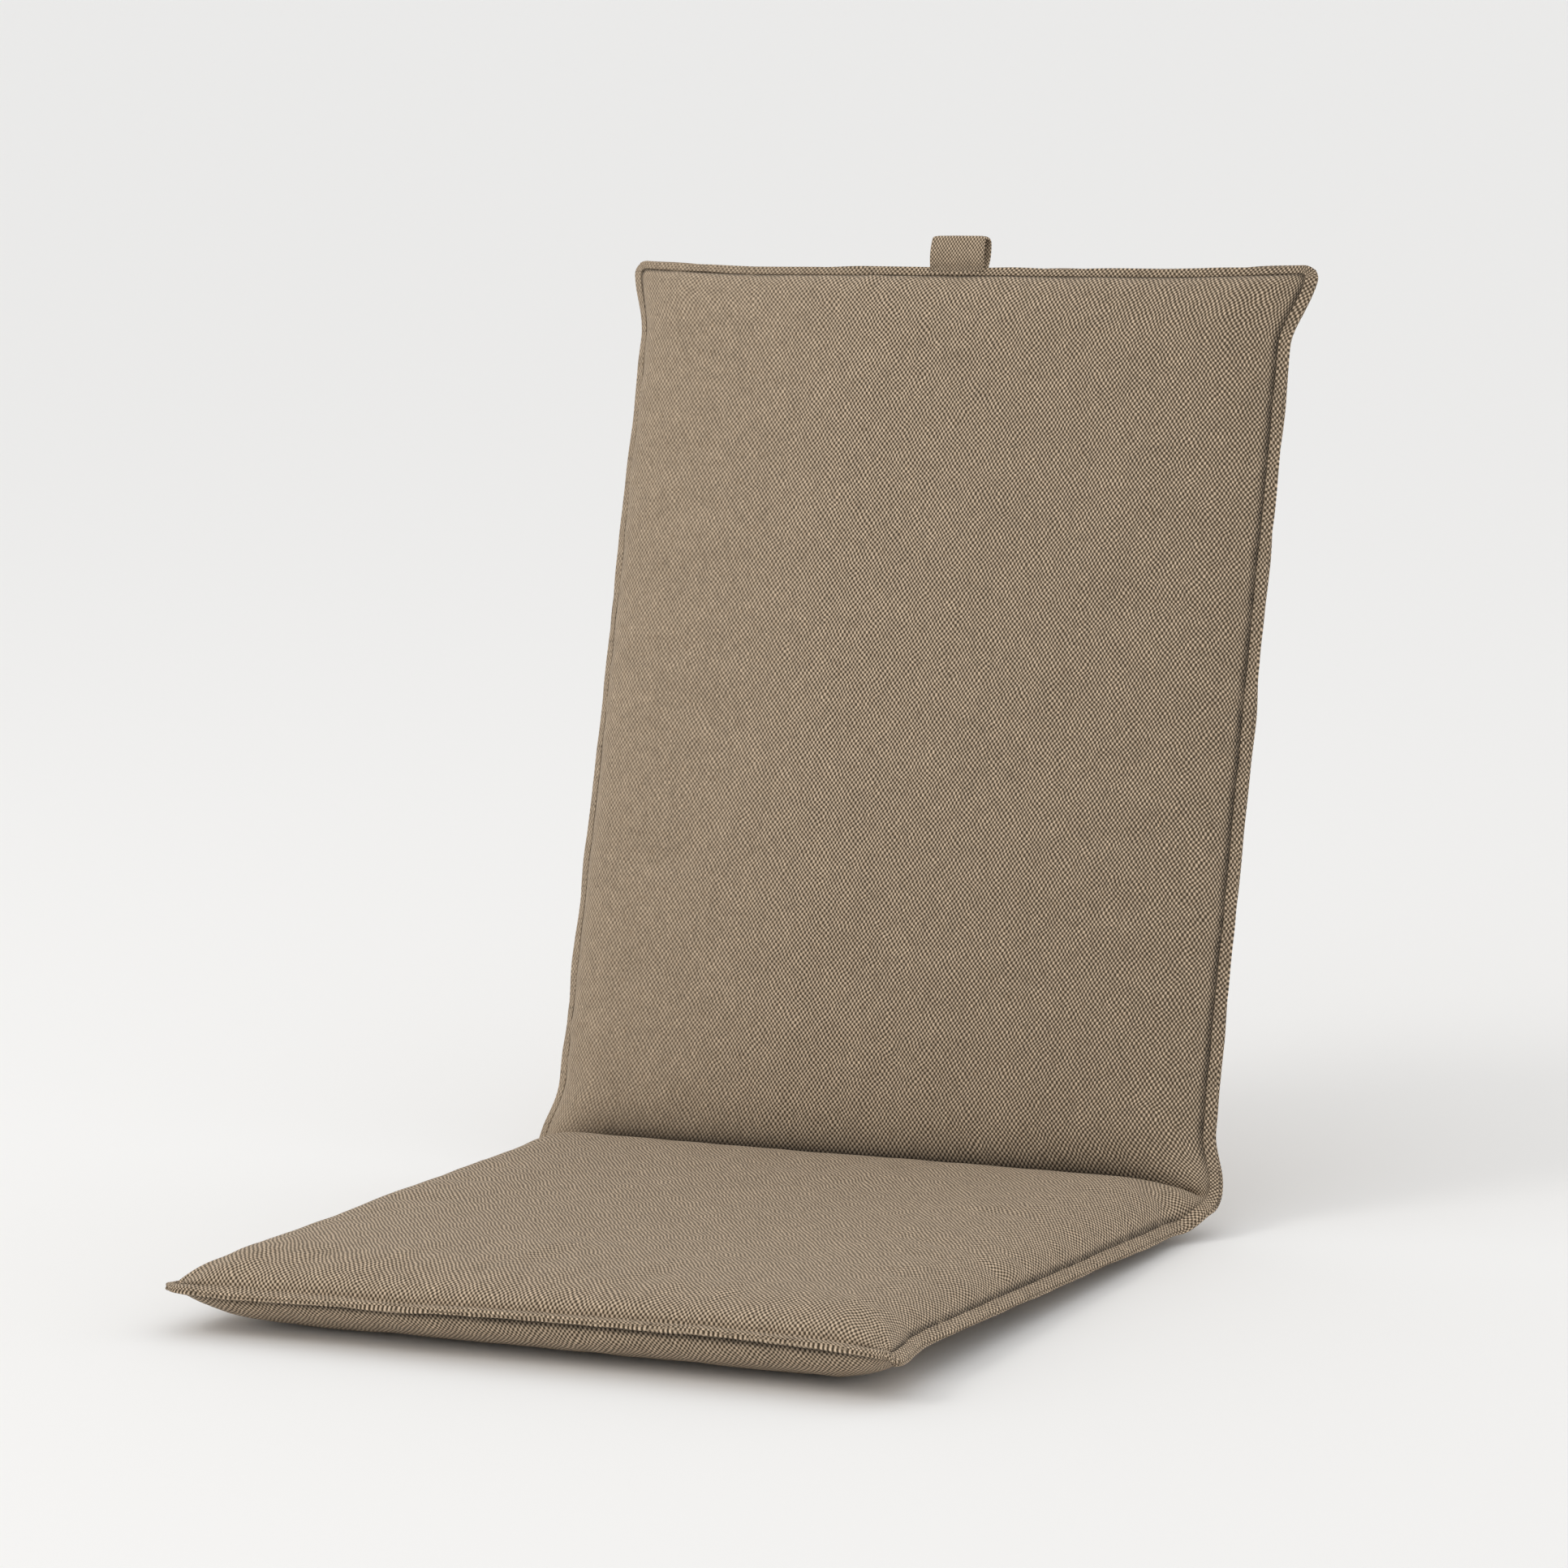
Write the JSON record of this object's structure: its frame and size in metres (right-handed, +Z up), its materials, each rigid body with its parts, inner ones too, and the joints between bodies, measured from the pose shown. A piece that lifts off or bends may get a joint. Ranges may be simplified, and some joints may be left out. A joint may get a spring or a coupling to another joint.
{
  "type": "seat and back cushion",
  "caption": "Long padded cloth cushion bent upright at a sewn fold into a flat seat and a leaning back, with a flanged seam round its edge and a hang loop on its top edge.",
  "frame": {"origin": "on the surface the cushion lies on, at the middle of the seat pad's flat underside", "axes": "+Z up, +Y from the seat's front edge towards the back pad, X across the cushion"},
  "size_m": [0.4944, 0.6638, 0.6184],
  "materials": {
    "cover_cloth": "matte",
    "strap_cloth": "matte"
  },
  "bodies": {
    "root": {"cushion": "cover_cloth", "hang_loop": "strap_cloth"}
  },
  "joints": []
}
